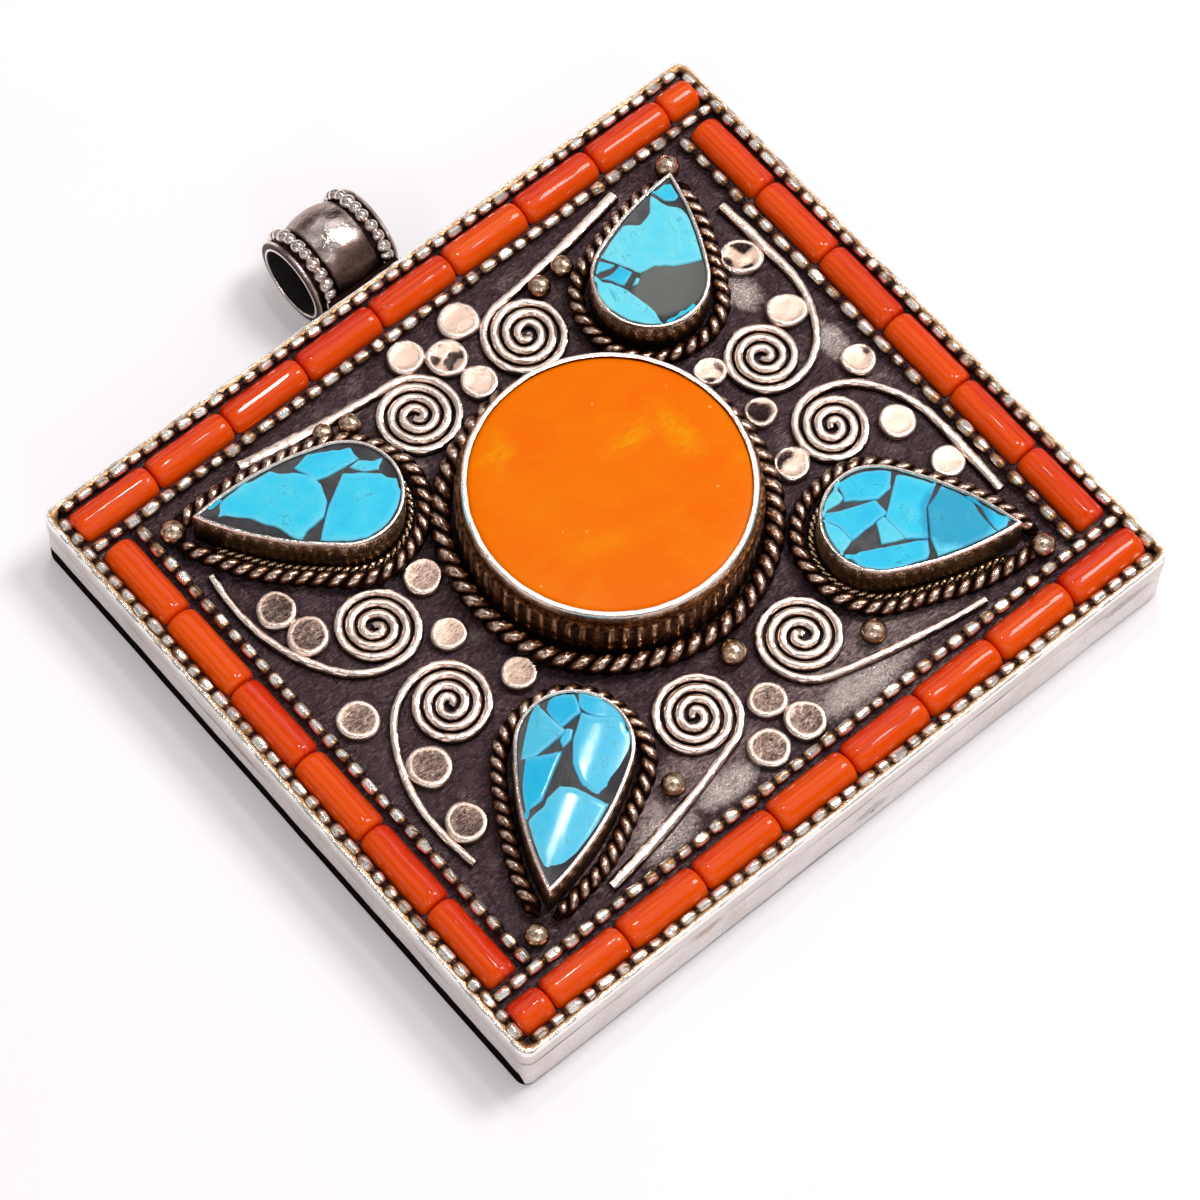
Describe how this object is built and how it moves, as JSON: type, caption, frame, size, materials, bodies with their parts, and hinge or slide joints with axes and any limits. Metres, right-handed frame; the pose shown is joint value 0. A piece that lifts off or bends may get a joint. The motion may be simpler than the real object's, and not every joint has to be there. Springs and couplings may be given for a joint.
{
  "type": "ghau amulet box pendant",
  "caption": "Silver amulet box pendant with coral border, amber centre, turquoise drops, wire scrolls, hanging tube and a back that slides out over a folded prayer packet.",
  "frame": {"origin": "middle of the bounding box's footprint, on the flat surface that the box lies on", "axes": "+Y towards the hanging tube, +X to the viewer's right along the tube, +Z out of the ornamented face"},
  "size_m": [0.075, 0.0774, 0.0145],
  "materials": {
    "sheet_silver": "worn satin silver sheet with fine scratches",
    "oxidised_silver": "blackened silver, polished on the high spots",
    "worked_silver": "silver wire and granules with dark recesses",
    "coral": "polished red coral",
    "amber": "polished opaque amber with pale clouds",
    "turquoise": "polished turquoise with a fine matrix",
    "dark_resin": "dark setting resin",
    "packet_paper": "aged handmade paper",
    "red_thread": "twisted cotton thread"
  },
  "bodies": {
    "box": {"case_band": "sheet_silver", "face_plate": "oxidised_silver", "slide_rails": "sheet_silver", "panel_ledge": "sheet_silver", "prayer_packet": "packet_paper", "packet_thread": "red_thread", "outer_beading": "worked_silver", "top_beading": "worked_silver", "bottom_beading": "worked_silver", "left_beading": "worked_silver", "right_beading": "worked_silver", "coral_top_row": "coral", "coral_bottom_row": "coral", "coral_left_row": "coral", "coral_right_row": "coral", "amber_stone": "amber", "amber_bedding": "dark_resin", "amber_bezel": "worked_silver", "amber_collar": "oxidised_silver", "amber_rope": "oxidised_silver", "drop_bezel_upper_left": "worked_silver", "drop_bezel_upper_right": "worked_silver", "drop_bezel_lower_left": "worked_silver", "drop_bezel_lower_right": "worked_silver", "drop_resin_upper_left": "dark_resin", "drop_resin_upper_right": "dark_resin", "drop_resin_lower_left": "dark_resin", "drop_resin_lower_right": "dark_resin", "turquoise_upper_left": "turquoise", "turquoise_upper_right": "turquoise", "turquoise_lower_left": "turquoise", "turquoise_lower_right": "turquoise", "drop_rope_upper_left": "oxidised_silver", "drop_rope_upper_right": "oxidised_silver", "drop_rope_lower_left": "oxidised_silver", "drop_rope_lower_right": "oxidised_silver", "fine_rope_upper_left": "oxidised_silver", "fine_rope_lower_right": "oxidised_silver", "scroll_top_left": "worked_silver", "scroll_top_right": "worked_silver", "scroll_bottom_left": "worked_silver", "scroll_bottom_right": "worked_silver", "scroll_left_upper": "worked_silver", "scroll_left_lower": "worked_silver", "scroll_right_upper": "worked_silver", "scroll_right_lower": "worked_silver", "granule_discs": "worked_silver", "granule_balls": "worked_silver", "bail_tube": "worked_silver", "bail_barrel": "worked_silver", "bail_granules": "worked_silver", "bail_foot": "oxidised_silver"},
    "sliding_back": {"back_panel": "sheet_silver"}
  },
  "joints": [
    {"name": "back_slide", "type": "slide", "parent": "box", "child": "sliding_back", "axis": [1, 0, 0], "range_m": [0, 0.065]}
  ]
}
